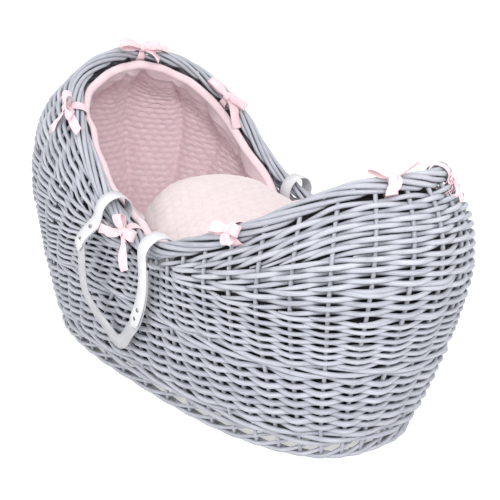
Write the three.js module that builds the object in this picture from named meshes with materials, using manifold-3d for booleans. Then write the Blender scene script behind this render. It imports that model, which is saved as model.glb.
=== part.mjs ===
// A hooded moses basket: a woven willow body on a board base, with a rolled rim, a plaited foot,
// a mattress, a quilted liner tied to the rim with ribbon bows, a plumped coverlet and two strap
// handles that swing about the rim.
//
// Millimetres, +Z up. +X points to the foot end, the hood is at -X. Z = 0 is the underside of the
// foot border. Going round the basket, angle 0 is the middle of the foot end, 90 degrees is the
// middle of the -Y side and 180 degrees is the middle of the hood.
import * as THREE from 'three';
import { mergeVertices } from 'three/addons/utils/BufferGeometryUtils.js';
import Module from 'manifold-3d';

const wasm = await Module();
wasm.setup();

// ---- driving dimensions ----------------------------------------------------------------------

const GAP = 0.3;

// The base outline is a superellipse, a little longer on the head side of its centre.
const BASE_CENTRE_X = -35;
const BASE_HALF_HEAD = 377;
const BASE_HALF_FOOT = 367;
const BASE_HALF_WIDTH = 150;
const BASE_SQUARENESS = 2.7;

// Half of the rim's centreline, from the middle of the foot end to the top of the hood.
const RIM_STATIONS = [
  [394, 0, 388],
  [347, 82, 377],
  [240, 140, 316],
  [121, 168, 265],
  [20, 165, 241],
  [-89, 158, 283],
  [-190, 147, 376],
  [-260, 101, 438],
  [-283, 0, 466],
];
const RIM_RADIUS = 13;

// Each stake leaves the base leaning out by FLARE and meets the rim leaning in by BEND, in degrees.
const FLARE = { head: 6, side: 13, foot: 19 };
const BEND = { head: 68, side: 5, foot: 46 };
const FLARE_REACH = 0.4;
const BEND_REACH = 0.33;

const WALL_HALF = 6;
const LEVEL_UP_TO = 0.1;
const BORDER_HEIGHT = 18;
const BORDER_WIDTH = 22;
const WALING_BOTTOM = 141;
const WALING_TOP = 155;
const WALING_EXTRA = 2;
const SEAM_ANGLE = 95;
const AROUND = 48;
const WALL_ROWS = 8;

const BOARD_THICKNESS = 6;
const MATTRESS_THICKNESS = 38;
const MATTRESS_INSET = 15;
const MATTRESS_EDGE = 9;
const LINER_THICKNESS = 5;
const LINER_OUTER = -(WALL_HALF + 3);
const LINER_SHORT_BY = 20;
const LINER_INNER = LINER_OUTER - LINER_THICKNESS;

// The coverlet is a dome cut to the inside of the liner. It is taller towards the hood by fall.
const COVERLET = {
  x: 85,
  halfLength: 260,
  halfWidth: 165,
  height: 210,
  squareness: 2.6,
  fall: 0.45,
  clear: 1.8,
};

const STRAP_WIDTH = 22;
const STRAP_THICKNESS = 2.4;
const LOOP_RADIUS = 22.5;
// Each end of the strap is turned back over it by this length, with two eyelets measured back from
// its pointed tip. The shorter end is the one nearer the hood.
const TONGUES = [66, 128];
const EYELETS_AT = [20, 38];
const EYELET = { bore: 1.5, barrel: 2.6, flange: 4.2, flangeThickness: 0.6, sides: 8 };
// The angles round the rim where each handle's two loops sit.
const HANDLE_LOOPS = { near: [109, 82], far: [-102, -80] };
// The hanging strap, as [towards the foot, down] from the middle of its two loops. The first
// number is a share of half the distance between them. It is drawn as it hangs from two loops that
// are level, and leans over by the slope of the line through them.
const STRAP_ROUTE = [
  [-1, 0],
  [-1.26, 34],
  [-1.33, 72],
  [-1.3, 110],
  [-1.12, 146],
  [-0.76, 172],
  [-0.42, 178],
  [-0.09, 166],
  [0.24, 139],
  [0.58, 112],
  [0.85, 78],
  [1, 42],
  [1, 0],
];

const RIBBON_WIDTH = 14;
const RIBBON_THICKNESS = 1.2;
const RIBBON_RADIUS = RIM_RADIUS + 1.8;
const BOW_LOOP = { length: 24, thick: 8, thin: 5 };
const BOW_TAIL = 38;
const TIES = {
  tie_hood_top: 184,
  tie_hood_near: 141,
  tie_hood_far: -137,
  tie_side_near: 98,
  tie_side_far: -91,
  tie_middle_near: 49.5,
  tie_middle_far: -51,
  tie_foot_near: 11.5,
  tie_foot_far: -9,
};

const COLOURS = {
  willow: { color: 0xc3c5cf, roughness: 0.62, metalness: 0 },
  board: { color: 0xefeeea, roughness: 0.6, metalness: 0 },
  mattress: { color: 0xf3f1ec, roughness: 0.9, metalness: 0 },
  liner: { color: 0xe8c8d0, roughness: 0.95, metalness: 0 },
  coverlet: { color: 0xf5e4e4, roughness: 0.95, metalness: 0 },
  ribbon: { color: 0xf5cdd4, roughness: 0.5, metalness: 0 },
  strap: { color: 0xeeeef0, roughness: 0.5, metalness: 0 },
  eyelet: { color: 0xb9b9b9, roughness: 0.3, metalness: 1 },
};

// ---- small helpers ---------------------------------------------------------------------------

const radians = THREE.MathUtils.degToRad;
const vec = (x, y, z) => new THREE.Vector3(x, y, z);
const signedPower = (value, power) => Math.sign(value) * Math.abs(value) ** power;

function signedVolume(points, triangles) {
  let total = 0;
  for (let i = 0; i < triangles.length; i += 3) {
    const [a, b, c] = [points[triangles[i]], points[triangles[i + 1]], points[triangles[i + 2]]];
    total += a.dot(b.clone().cross(c));
  }
  return total / 6;
}

// A closed mesh from points and triangles, turned to face outwards.
function closedGeometry(points, triangles) {
  const facing = signedVolume(points, triangles) < 0 ? triangles.slice().reverse() : triangles;
  const geometry = new THREE.BufferGeometry();
  geometry.setAttribute('position', new THREE.Float32BufferAttribute(points.flatMap((p) => p.toArray()), 3));
  geometry.setIndex(facing);
  return geometry;
}

// Joins equal-length closed outlines into a skin. A closed sweep returns to its first outline;
// an open one gets flat ends, each made of quads between the outline's two halves.
function loft(outlines, closed) {
  const size = outlines[0].length;
  const triangles = [];
  const quad = (a, b, c, d) => triangles.push(a, b, c, a, c, d);
  const spans = closed ? outlines.length : outlines.length - 1;
  for (let i = 0; i < spans; i += 1) {
    const here = i * size;
    const next = ((i + 1) % outlines.length) * size;
    for (let j = 0; j < size; j += 1) {
      const k = (j + 1) % size;
      quad(here + j, here + k, next + k, next + j);
    }
  }
  if (!closed) {
    const last = (outlines.length - 1) * size;
    for (let j = 0; j < size / 2 - 1; j += 1) {
      const [k, m, n] = [j + 1, size - 2 - j, size - 1 - j];
      quad(n, m, k, j);
      quad(last + j, last + k, last + m, last + n);
    }
  }
  return closedGeometry(outlines.flat(), triangles);
}

function toSolid(geometry, matrix) {
  let plain = geometry.clone();
  if (matrix) plain.applyMatrix4(matrix);
  plain.deleteAttribute('normal');
  plain.deleteAttribute('uv');
  plain = mergeVertices(plain, 1e-4);
  return new wasm.Manifold(new wasm.Mesh({
    numProp: 3,
    vertProperties: new Float32Array(plain.attributes.position.array),
    triVerts: new Uint32Array(plain.index.array),
  }));
}

function toGeometry(solid) {
  const mesh = solid.getMesh();
  const geometry = new THREE.BufferGeometry();
  geometry.setAttribute('position', new THREE.Float32BufferAttribute(mesh.vertProperties, 3));
  geometry.setIndex(Array.from(mesh.triVerts));
  return geometry;
}

const joinAll = (solids) => solids.reduce((sum, solid) => sum.add(solid));
const cutAll = (solid, cutters) => cutters.reduce((rest, cutter) => rest.subtract(cutter), solid);

// ---- the woven surface -----------------------------------------------------------------------

const otherSide = RIM_STATIONS.slice(1, -1).reverse().map(([x, y, z]) => [x, -y, z]);
const rimCurve = new THREE.CatmullRomCurve3(
  [...RIM_STATIONS, ...otherSide].map(([x, y, z]) => vec(x, -y, z)),
  true,
  'catmullrom',
  0.5,
);

function rimPoint(angle) {
  const turn = angle / (2 * Math.PI);
  return rimCurve.getPoint(turn - Math.floor(turn));
}

// How much the angle belongs to the head, the side and the foot of the basket.
function endWeights(angle) {
  const head = Math.max(0, -Math.cos(angle)) ** 1.5;
  const foot = Math.max(0, Math.cos(angle)) ** 1.5;
  return { head, foot, side: 1 - head - foot };
}

function blendAngle(table, angle) {
  const weights = endWeights(angle);
  return radians(table.head * weights.head + table.side * weights.side + table.foot * weights.foot);
}

function baseOutline(angle, inset = 0) {
  const half = (Math.cos(angle) < 0 ? BASE_HALF_HEAD : BASE_HALF_FOOT) - inset;
  const power = 2 / BASE_SQUARENESS;
  const y = -(BASE_HALF_WIDTH - inset) * signedPower(Math.sin(angle), power);
  return vec(BASE_CENTRE_X + half * signedPower(Math.cos(angle), power), y, 0);
}

function planOutward(angle) {
  const half = Math.cos(angle) < 0 ? BASE_HALF_HEAD : BASE_HALF_FOOT;
  return vec(Math.cos(angle) * (BASE_HALF_WIDTH / half), -Math.sin(angle), 0).normalize();
}

// The middle of the woven wall: v runs from 0 at the base to 1 at the rim's centreline.
function stakePoint(angle, v) {
  const start = baseOutline(angle);
  const end = rimPoint(angle);
  const outward = planOutward(angle);
  const reach = start.distanceTo(end);
  const flare = blendAngle(FLARE, angle);
  const bend = blendAngle(BEND, angle);
  const leave = outward.clone().multiplyScalar(Math.sin(flare)).setZ(Math.cos(flare));
  const arrive = outward.clone().multiplyScalar(-Math.sin(bend)).setZ(Math.cos(bend));
  const curve = new THREE.CubicBezierCurve3(
    start,
    start.clone().addScaledVector(leave, FLARE_REACH * reach),
    end.clone().addScaledVector(arrive, -BEND_REACH * reach),
    end,
  );
  return curve.getPoint(v);
}

function wallNormal(angle, v) {
  const step = 0.004;
  const around = stakePoint(angle + step, v).sub(stakePoint(angle - step, v));
  const up = stakePoint(angle, Math.min(1, v + step)).sub(stakePoint(angle, Math.max(0, v - step)));
  return up.cross(around).normalize();
}

// The wall's thickness is measured level near the base, and square to the wall higher up.
function wallPoint(angle, v, offset) {
  const direction = wallNormal(angle, v);
  direction.z *= THREE.MathUtils.smoothstep(v, LEVEL_UP_TO, LEVEL_UP_TO + 0.25);
  return stakePoint(angle, v).addScaledVector(direction.normalize(), offset);
}

// The v at which a stake reaches the height z, by halving.
function heightToV(angle, z) {
  let low = 0;
  let high = 1;
  for (let i = 0; i < 30; i += 1) {
    const middle = (low + high) / 2;
    if (stakePoint(angle, middle).z < z) low = middle;
    else high = middle;
  }
  return low;
}

function angles(fromDegrees, toDegrees, spans) {
  const count = spans === AROUND ? spans : spans + 1;
  const step = (toDegrees - fromDegrees) / spans;
  return Array.from({ length: count }, (_, i) => radians(fromDegrees + step * i));
}

const allRound = () => angles(0, 360, AROUND);

// A wall between two heights and two offsets from the middle of the weave. With no top it runs up
// to the rim, or stops short of the rim's centreline by shortBy.
function wallBand({ stations, closed, bottom, top, shortBy = 0, outer, inner, rows }) {
  const outlines = stations.map((angle) => {
    const low = heightToV(angle, bottom);
    const reach = baseOutline(angle).distanceTo(rimPoint(angle));
    const high = top ? heightToV(angle, top) : 1 - shortBy / reach;
    const steps = Array.from({ length: rows + 1 }, (_, i) => low + ((high - low) * i) / rows);
    const outside = steps.map((v) => wallPoint(angle, v, outer));
    const inside = steps.map((v) => wallPoint(angle, v, inner)).reverse();
    return [...outside, ...inside];
  });
  return loft(outlines, closed);
}

// The frame on the rim: t along it, out through the wall, up along the stake.
function rimFrame(angle) {
  const step = 0.01;
  const t = rimPoint(angle + step).sub(rimPoint(angle - step)).normalize();
  const normal = wallNormal(angle, 0.985);
  const out = normal.addScaledVector(t, -normal.dot(t)).normalize();
  const up = out.clone().cross(t).normalize();
  if (up.dot(stakePoint(angle, 1).sub(stakePoint(angle, 0.95))) < 0) up.negate();
  return { point: rimPoint(angle), t, out, up };
}

function rimTube(radius, sides) {
  const outlines = allRound().map((angle) => {
    const { point, out, up } = rimFrame(angle);
    return Array.from({ length: sides }, (_, i) => {
      const turn = (2 * Math.PI * i) / sides;
      const edge = point.clone().addScaledVector(out, radius * Math.cos(turn));
      return edge.addScaledVector(up, radius * Math.sin(turn));
    });
  });
  return loft(outlines, true);
}

// ---- handles ---------------------------------------------------------------------------------

// The handle's own frame: x along the line through its loops, y down, z outwards. footward is
// the sign of the local x that leads to the foot end, so that the frame is right-handed.
function handleFrame([first, second]) {
  const start = rimPoint(radians(first));
  const end = rimPoint(radians(second));
  const footward = Math.sign(start.y);
  const along = end.clone().sub(start).multiplyScalar(footward).normalize();
  const out = vec(along.y, -along.x, 0).multiplyScalar(-1).normalize();
  const down = out.clone().cross(along);
  const middle = start.clone().add(end).multiplyScalar(0.5);
  const matrix = new THREE.Matrix4().makeBasis(along, down, out).setPosition(middle);
  const slope = (-along.z * footward) / Math.hypot(along.x, along.y);
  return { matrix, half: start.distanceTo(end) / 2, footward, slope };
}

// A closed band round the local x axis.
function loopBand(radius, thickness, width, steps) {
  const profile = [
    [radius, -width / 2],
    [radius + thickness, -width / 2],
    [radius + thickness, width / 2],
    [radius, width / 2],
    [radius, -width / 2],
  ];
  const band = new THREE.LatheGeometry(profile.map(([x, y]) => new THREE.Vector2(x, y)), steps);
  return band.rotateZ(Math.PI / 2);
}

function hangingCurve({ half, slope, footward }) {
  return new THREE.SplineCurve(STRAP_ROUTE.map(([share, y]) => (
    new THREE.Vector2((share * half + slope * y) * footward, y)
  )));
}

// The flat outline of the strap between two shares of the curve's length, with a pointed tip
// beyond the second if tip is more than 0.
function strapOutline(curve, from, to, steps, tip) {
  const left = [];
  const right = [];
  for (let i = 0; i <= steps; i += 1) {
    const at = from + ((to - from) * i) / steps;
    const tangent = curve.getTangentAt(at);
    const across = new THREE.Vector2(-tangent.y, tangent.x).multiplyScalar(STRAP_WIDTH / 2);
    left.push(curve.getPointAt(at).add(across));
    right.push(curve.getPointAt(at).sub(across));
  }
  if (tip > 0) {
    const ahead = curve.getTangentAt(to).multiplyScalar(tip * Math.sign(to - from));
    left.push(curve.getPointAt(to).add(ahead));
  }
  return new THREE.Shape([...left, ...right.reverse()]);
}

// The places, as shares of the curve's length, where each tongue ends and its eyelets sit.
function tonguePlaces(curve) {
  const length = curve.getLength();
  const near = (end, distance) => (end === 0 ? distance / length : 1 - distance / length);
  return TONGUES.map((tongue, end) => ({
    end,
    square: near(end, tongue - STRAP_WIDTH / 2),
    eyelets: EYELETS_AT.map((back) => curve.getPointAt(near(end, tongue - back))),
  }));
}

function plate(shape, z, thickness) {
  return new THREE.ExtrudeGeometry(shape, { depth: thickness, bevelEnabled: false }).translate(0, 0, z);
}

function alongZ(geometry, x, y, z) {
  return geometry.rotateX(Math.PI / 2).translate(x, y, z);
}

// The strap: a loop round the rim at each end, the hanging band, and the two ends turned back
// over it as pointed tongues.
function strapSolid(frame) {
  const curve = hangingCurve(frame);
  const tongueLevel = LOOP_RADIUS + STRAP_THICKNESS / 2;
  const band = plate(strapOutline(curve, 0, 1, 36, 0), LOOP_RADIUS, STRAP_THICKNESS);
  const pieces = [toSolid(band)];
  const holes = [];
  for (const x of [-frame.half, frame.half]) {
    pieces.push(toSolid(loopBand(LOOP_RADIUS, STRAP_THICKNESS, STRAP_WIDTH, 20).translate(x, 0, 0)));
  }
  for (const { end, square, eyelets } of tonguePlaces(curve)) {
    const outline = strapOutline(curve, end, square, 14, STRAP_WIDTH / 2);
    pieces.push(toSolid(plate(outline, tongueLevel, 1.5 * STRAP_THICKNESS)));
    for (const { x, y } of eyelets) {
      const drill = new THREE.CylinderGeometry(EYELET.barrel + GAP, EYELET.barrel + GAP, 20, EYELET.sides);
      holes.push(toSolid(alongZ(drill, x, y, LOOP_RADIUS)));
    }
  }
  return cutAll(joinAll(pieces), holes);
}

// A tubular eyelet with a flange on each face of the doubled strap.
function eyeletGeometry(x, y) {
  const { bore, barrel, flange, flangeThickness } = EYELET;
  const low = -GAP;
  const high = 2 * STRAP_THICKNESS + GAP;
  const profile = [
    [bore, low - flangeThickness],
    [flange, low - flangeThickness],
    [flange, low],
    [barrel, low],
    [barrel, high],
    [flange, high],
    [flange, high + flangeThickness],
    [bore, high + flangeThickness],
    [bore, low - flangeThickness],
  ];
  const tube = new THREE.LatheGeometry(profile.map(([r, h]) => new THREE.Vector2(r, h)), EYELET.sides);
  return alongZ(tube, x, y, LOOP_RADIUS);
}

// ---- ribbon ties -----------------------------------------------------------------------------

function bowLoop(side) {
  const { length, thick, thin } = BOW_LOOP;
  const loop = new THREE.CylinderGeometry(thick, thin, length, 8);
  loop.scale(1, 1, 0.7).rotateZ(-side * Math.PI / 2);
  return loop.translate(side * (length / 2 + 5), 0, RIBBON_RADIUS + thick);
}

function bowTail(side) {
  const strip = new THREE.BoxGeometry(RIBBON_WIDTH - 3, BOW_TAIL, RIBBON_THICKNESS);
  strip.translate(0, -BOW_TAIL / 2, 0).rotateZ(side * radians(20));
  return strip.translate(side * 7, 0, RIBBON_RADIUS + 1.1);
}

// One tie: a band of ribbon round the rim, a knot, two loops and two tails, in the rim's frame
// with x along the rim, y up the stake and z outwards.
function tieSolid(angle) {
  const { point, t, out } = rimFrame(angle);
  const up = out.clone().cross(t);
  const matrix = new THREE.Matrix4().makeBasis(t, up, out).setPosition(point);
  if (up.dot(vec(0, 0, 1)) < 0) matrix.multiply(new THREE.Matrix4().makeRotationZ(Math.PI));
  const band = loopBand(RIBBON_RADIUS, RIBBON_THICKNESS, RIBBON_WIDTH, 12);
  const knot = new THREE.BoxGeometry(12, 12, 10).translate(0, 0, RIBBON_RADIUS + 5);
  const pieces = [band, knot, bowLoop(1), bowLoop(-1), bowTail(1), bowTail(-1)];
  return joinAll(pieces.map((piece) => toSolid(piece, matrix)));
}

// Room for a band round the rim where it passes through the top of the wall and liner.
function bandSlot(matrix, x, radius, thickness, width) {
  const clearance = 0.8;
  const slot = loopBand(radius - clearance, thickness + 2 * clearance, width + 2 * clearance, 20);
  return toSolid(slot.translate(x, 0, 0), matrix);
}

function tieSlot(angle) {
  const { point, t, out } = rimFrame(angle);
  const basis = new THREE.Matrix4().makeBasis(t, out.clone().cross(t), out).setPosition(point);
  return bandSlot(basis, 0, RIBBON_RADIUS, RIBBON_THICKNESS, RIBBON_WIDTH);
}

// ---- soft pieces inside ----------------------------------------------------------------------

function mattressGeometry() {
  const bottom = BORDER_HEIGHT + GAP + BOARD_THICKNESS + GAP;
  const top = bottom + MATTRESS_THICKNESS;
  const levels = [
    [bottom, MATTRESS_INSET + MATTRESS_EDGE],
    [bottom + MATTRESS_EDGE, MATTRESS_INSET],
    [top - MATTRESS_EDGE, MATTRESS_INSET],
    [top, MATTRESS_INSET + MATTRESS_EDGE],
  ];
  return cappedStack(levels.map(([z, inset]) => (
    allRound().map((angle) => baseOutline(angle, inset).setZ(z))
  )));
}

// A solid from level outlines one above another, closed by a fan at the bottom and the top.
function cappedStack(levels) {
  const size = levels[0].length;
  const points = levels.flat();
  const triangles = [];
  for (let i = 0; i < levels.length - 1; i += 1) {
    for (let j = 0; j < size; j += 1) {
      const k = (j + 1) % size;
      const [a, b, c, d] = [i * size + j, i * size + k, (i + 1) * size + k, (i + 1) * size + j];
      triangles.push(a, b, c, a, c, d);
    }
  }
  const centre = (level) => level.reduce((sum, p) => sum.add(p), vec(0, 0, 0)).multiplyScalar(1 / size);
  const low = points.push(centre(levels[0])) - 1;
  const high = points.push(centre(levels[levels.length - 1])) - 1;
  const lift = (levels.length - 1) * size;
  for (let j = 0; j < size; j += 1) {
    const k = (j + 1) % size;
    triangles.push(low, k, j, high, lift + j, lift + k);
  }
  return closedGeometry(points, triangles);
}

// The space inside the liner, from the mattress up to the rim.
function roomSolid(bottom) {
  const offset = LINER_INNER - COVERLET.clear;
  const rows = 6;
  const levels = Array.from({ length: rows + 1 }, (_, i) => allRound().map((angle) => {
    const low = heightToV(angle, bottom);
    return wallPoint(angle, low + ((0.96 - low) * i) / rows, offset);
  }));
  return toSolid(cappedStack(levels));
}

function coverletSolid() {
  const bottom = BORDER_HEIGHT + 3 * GAP + BOARD_THICKNESS + MATTRESS_THICKNESS;
  const { x, halfLength, halfWidth, height, squareness, fall } = COVERLET;
  const power = 2 / squareness;
  const rings = 8;
  const levels = Array.from({ length: rings }, (_, i) => {
    const tilt = (radians(86) * i) / (rings - 1);
    const spread = Math.cos(tilt) ** power;
    return Array.from({ length: 36 }, (__, j) => {
      const turn = (2 * Math.PI * j) / 36;
      const along = spread * signedPower(Math.cos(turn), power);
      return vec(
        x + halfLength * along,
        halfWidth * spread * signedPower(Math.sin(turn), power),
        bottom + height * (1 - fall * along) * Math.sin(tilt) ** power,
      );
    });
  });
  return toSolid(cappedStack(levels)).intersect(roomSolid(bottom));
}

// ---- the assembly ----------------------------------------------------------------------------

const basket = new THREE.Group();

function addPart(name, look, geometry) {
  const mesh = new THREE.Mesh(geometry, new THREE.MeshStandardMaterial(COLOURS[look]));
  mesh.name = name;
  basket.add(mesh);
  return mesh;
}

function footBorder() {
  const outer = WALL_HALF + 1;
  const inner = outer - BORDER_WIDTH;
  const ease = 4;
  const outlines = allRound().map((angle) => {
    const foot = baseOutline(angle);
    const outward = planOutward(angle);
    const at = (offset, z) => foot.clone().addScaledVector(outward, offset).setZ(z);
    return [
      at(outer - ease, 0),
      at(outer, ease),
      at(outer, BORDER_HEIGHT),
      at(inner, BORDER_HEIGHT),
      at(inner, ease),
      at(inner + ease, 0),
    ];
  });
  return loft(outlines, true);
}

function baseBoard() {
  const bottom = BORDER_HEIGHT + GAP;
  const inset = WALL_HALF + 0.8;
  const levels = [bottom, bottom + BOARD_THICKNESS].map((z) => (
    allRound().map((angle) => baseOutline(angle, inset).setZ(z))
  ));
  return cappedStack(levels);
}

const nearFrame = handleFrame(HANDLE_LOOPS.near);
const farFrame = handleFrame(HANDLE_LOOPS.far);

const slots = Object.values(TIES).map((angle) => tieSlot(radians(angle)));
for (const { matrix, half } of [nearFrame, farFrame]) {
  for (const x of [-half, half]) {
    slots.push(bandSlot(matrix, x, LOOP_RADIUS, STRAP_THICKNESS, STRAP_WIDTH));
  }
}
const rimRoom = toSolid(rimTube(RIM_RADIUS + GAP + 0.2, 10));

function woven(options) {
  const wall = wallBand({ outer: WALL_HALF, inner: -WALL_HALF, ...options });
  return toGeometry(cutAll(toSolid(wall).subtract(rimRoom), slots));
}

addPart('foot_border', 'willow', footBorder());
addPart('base_board', 'board', baseBoard());
addPart('lower_weave', 'willow', wallBand({
  stations: allRound(),
  closed: true,
  bottom: BORDER_HEIGHT + GAP,
  top: WALING_BOTTOM,
  outer: WALL_HALF,
  inner: -WALL_HALF,
  rows: 4,
}));
addPart('waling_band', 'willow', wallBand({
  stations: allRound(),
  closed: true,
  bottom: WALING_BOTTOM + 2 * GAP,
  top: WALING_TOP,
  outer: WALL_HALF + WALING_EXTRA,
  inner: -WALL_HALF,
  rows: 1,
}));
const seam = SEAM_ANGLE + 0.05;
addPart('hood_weave', 'willow', woven({
  stations: angles(seam, 360 - seam, 24),
  closed: false,
  bottom: WALING_TOP + 2 * GAP,
  rows: WALL_ROWS,
}));
addPart('foot_end_weave', 'willow', woven({
  stations: angles(seam - 0.1, 0.1 - seam, 26),
  closed: false,
  bottom: WALING_TOP + 2 * GAP,
  rows: WALL_ROWS,
}));
addPart('rim_border', 'willow', rimTube(RIM_RADIUS, 10));
addPart('mattress', 'mattress', mattressGeometry());

const linerWall = wallBand({
  stations: allRound(),
  closed: true,
  bottom: BORDER_HEIGHT + BOARD_THICKNESS + 4 * GAP,
  shortBy: LINER_SHORT_BY,
  outer: LINER_OUTER,
  inner: LINER_INNER,
  rows: WALL_ROWS,
});
addPart('liner', 'liner', toGeometry(cutAll(toSolid(linerWall), slots)));
addPart('coverlet', 'coverlet', toGeometry(coverletSolid()));

for (const [name, angle] of Object.entries(TIES)) {
  addPart(name, 'ribbon', toGeometry(tieSolid(radians(angle))));
}

for (const [side, frame] of Object.entries({ near: nearFrame, far: farFrame })) {
  const strap = toGeometry(strapSolid(frame)).applyMatrix4(frame.matrix);
  const mesh = addPart(`handle_strap_${side}`, 'strap', strap);
  // The strap swings about this line: a unit direction and a point on it, before the last shift.
  mesh.userData.hinge = {
    x: frame.matrix.elements.slice(0, 3),
    at: frame.matrix.elements.slice(12, 15),
  };
  const eyelets = tonguePlaces(hangingCurve(frame)).flatMap((tongue) => tongue.eyelets);
  eyelets.forEach(({ x, y }, i) => {
    const eyelet = eyeletGeometry(x, y).applyMatrix4(frame.matrix);
    addPart(`strap_eyelet_${side}_${i + 1}`, 'eyelet', eyelet);
  });
}

// The origin stands under the middle of the whole basket's box.
const middle = new THREE.Box3().setFromObject(basket).getCenter(vec(0, 0, 0));
basket.position.set(-middle.x, -middle.y, 0);

export default basket;
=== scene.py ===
# A hooded moses basket woven from grey painted willow, with a pink quilted liner tied on with
# ribbon bows, a mattress, a plumped coverlet and two strap handles. Metres, +Z up, in the frame of
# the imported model: +X points to the foot end, the hood is at -X. Going round the basket, angle 0
# is the middle of the foot end, 90 degrees the middle of the -Y side, 180 degrees the hood.
import math

import bmesh
import bpy
import numpy as np
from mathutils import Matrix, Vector


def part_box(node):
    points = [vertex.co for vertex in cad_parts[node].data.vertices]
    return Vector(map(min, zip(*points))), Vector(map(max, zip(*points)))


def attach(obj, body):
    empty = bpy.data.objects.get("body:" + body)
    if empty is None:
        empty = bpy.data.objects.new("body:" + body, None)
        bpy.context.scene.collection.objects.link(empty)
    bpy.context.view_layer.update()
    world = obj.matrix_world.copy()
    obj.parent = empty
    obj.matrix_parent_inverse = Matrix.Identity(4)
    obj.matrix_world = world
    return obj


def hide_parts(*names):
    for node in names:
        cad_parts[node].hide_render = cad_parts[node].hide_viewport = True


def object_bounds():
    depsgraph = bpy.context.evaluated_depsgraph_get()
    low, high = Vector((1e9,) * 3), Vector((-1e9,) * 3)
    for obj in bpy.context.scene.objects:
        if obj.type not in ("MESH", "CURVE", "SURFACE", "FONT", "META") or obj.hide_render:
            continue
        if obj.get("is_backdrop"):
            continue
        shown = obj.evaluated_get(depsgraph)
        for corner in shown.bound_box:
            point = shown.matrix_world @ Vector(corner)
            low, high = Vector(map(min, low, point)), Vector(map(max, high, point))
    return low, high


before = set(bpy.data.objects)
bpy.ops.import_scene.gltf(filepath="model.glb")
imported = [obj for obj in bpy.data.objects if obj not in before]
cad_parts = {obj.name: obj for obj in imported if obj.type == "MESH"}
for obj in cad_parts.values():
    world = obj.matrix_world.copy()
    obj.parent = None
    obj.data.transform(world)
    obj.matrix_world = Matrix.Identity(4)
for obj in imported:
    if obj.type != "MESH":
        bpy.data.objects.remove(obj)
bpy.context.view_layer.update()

TAU = 2 * math.pi
rng = np.random.default_rng(7)

# ---- the basket's surface: the same formulas as the CAD ---------------------------------------

BASE_CENTRE_X = -0.035
BASE_HALF_HEAD = 0.377
BASE_HALF_FOOT = 0.367
BASE_HALF_WIDTH = 0.150
BASE_SQUARENESS = 2.7
RIM_STATIONS = np.array([
    [0.394, 0, 0.388],
    [0.347, 0.082, 0.377],
    [0.240, 0.140, 0.316],
    [0.121, 0.168, 0.265],
    [0.020, 0.165, 0.241],
    [-0.089, 0.158, 0.283],
    [-0.190, 0.147, 0.376],
    [-0.260, 0.101, 0.438],
    [-0.283, 0, 0.466],
])
FLARE = {"head": 6, "side": 13, "foot": 19}
BEND = {"head": 68, "side": 5, "foot": 46}
FLARE_REACH = 0.4
BEND_REACH = 0.33
LEVEL_UP_TO = 0.1
BORDER_OUTER = 0.007

foot_low, foot_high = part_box("foot_border")
SHIFT = np.array([
    foot_low.x - (BASE_CENTRE_X - BASE_HALF_HEAD - BORDER_OUTER),
    (foot_low.y + foot_high.y) / 2,
    0,
])
RIM = np.vstack([RIM_STATIONS * [1, -1, 1], RIM_STATIONS[-2:0:-1]])


def signed_power(value, power):
    return np.sign(value) * np.abs(value) ** power


def unit(vectors):
    return vectors / np.maximum(np.linalg.norm(vectors, axis=-1, keepdims=True), 1e-12)


def smooth(x, low, high):
    t = np.clip((x - low) / (high - low), 0, 1)
    return t * t * (3 - 2 * t)


def rim_point(angle):
    place = (np.asarray(angle, float) / TAU % 1.0) * len(RIM)
    i = np.floor(place).astype(int)
    w = (place - i)[..., None]
    p0, p1, p2, p3 = (RIM[(i + k) % len(RIM)] for k in (-1, 0, 1, 2))
    t0, t1 = 0.5 * (p2 - p0), 0.5 * (p3 - p1)
    curve = p1 + t0 * w + (3 * (p2 - p1) - 2 * t0 - t1) * w**2 + (2 * (p1 - p2) + t0 + t1) * w**3
    return curve + SHIFT


def half_length(angle):
    return np.where(np.cos(angle) < 0, BASE_HALF_HEAD, BASE_HALF_FOOT)


def base_outline(angle, inset=0.0, z=0.0):
    angle = np.asarray(angle, float)
    power = 2 / BASE_SQUARENESS
    x = BASE_CENTRE_X + (half_length(angle) - inset) * signed_power(np.cos(angle), power)
    y = -(BASE_HALF_WIDTH - inset) * signed_power(np.sin(angle), power)
    return np.stack([x, y, np.zeros_like(x) + z], -1) + SHIFT


def plan_outward(angle):
    angle = np.asarray(angle, float)
    x = np.cos(angle) * BASE_HALF_WIDTH / half_length(angle)
    return unit(np.stack([x, -np.sin(angle), np.zeros_like(x)], -1))


def blend_angle(table, angle):
    head = np.maximum(0, -np.cos(angle)) ** 1.5
    foot = np.maximum(0, np.cos(angle)) ** 1.5
    return np.radians(table["head"] * head + table["side"] * (1 - head - foot) + table["foot"] * foot)


def stake_point(angle, v):
    """The middle of the woven wall: v is 0 at the base and 1 at the rim's centreline."""
    angle, v = np.broadcast_arrays(np.asarray(angle, float), np.asarray(v, float))
    start, end, outward = base_outline(angle), rim_point(angle), plan_outward(angle)
    reach = np.linalg.norm(end - start, axis=-1)[..., None]
    up = np.array([0, 0, 1.0])
    flare = blend_angle(FLARE, angle)[..., None]
    bend = blend_angle(BEND, angle)[..., None]
    first = start + FLARE_REACH * reach * (outward * np.sin(flare) + up * np.cos(flare))
    second = end - BEND_REACH * reach * (up * np.cos(bend) - outward * np.sin(bend))
    v = v[..., None]
    w = 1 - v
    return w**3 * start + 3 * w**2 * v * first + 3 * w * v**2 * second + v**3 * end


def wall_normal(angle, v, level=True):
    step = 0.004
    angle, v = np.broadcast_arrays(np.asarray(angle, float), np.asarray(v, float))
    around = stake_point(angle + step, v) - stake_point(angle - step, v)
    up = stake_point(angle, np.minimum(1, v + step)) - stake_point(angle, np.maximum(0, v - step))
    normal = unit(np.cross(up, around))
    if level:
        normal = normal.copy()
        normal[..., 2] *= smooth(v, LEVEL_UP_TO, LEVEL_UP_TO + 0.25)
        normal = unit(normal)
    return normal


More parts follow.
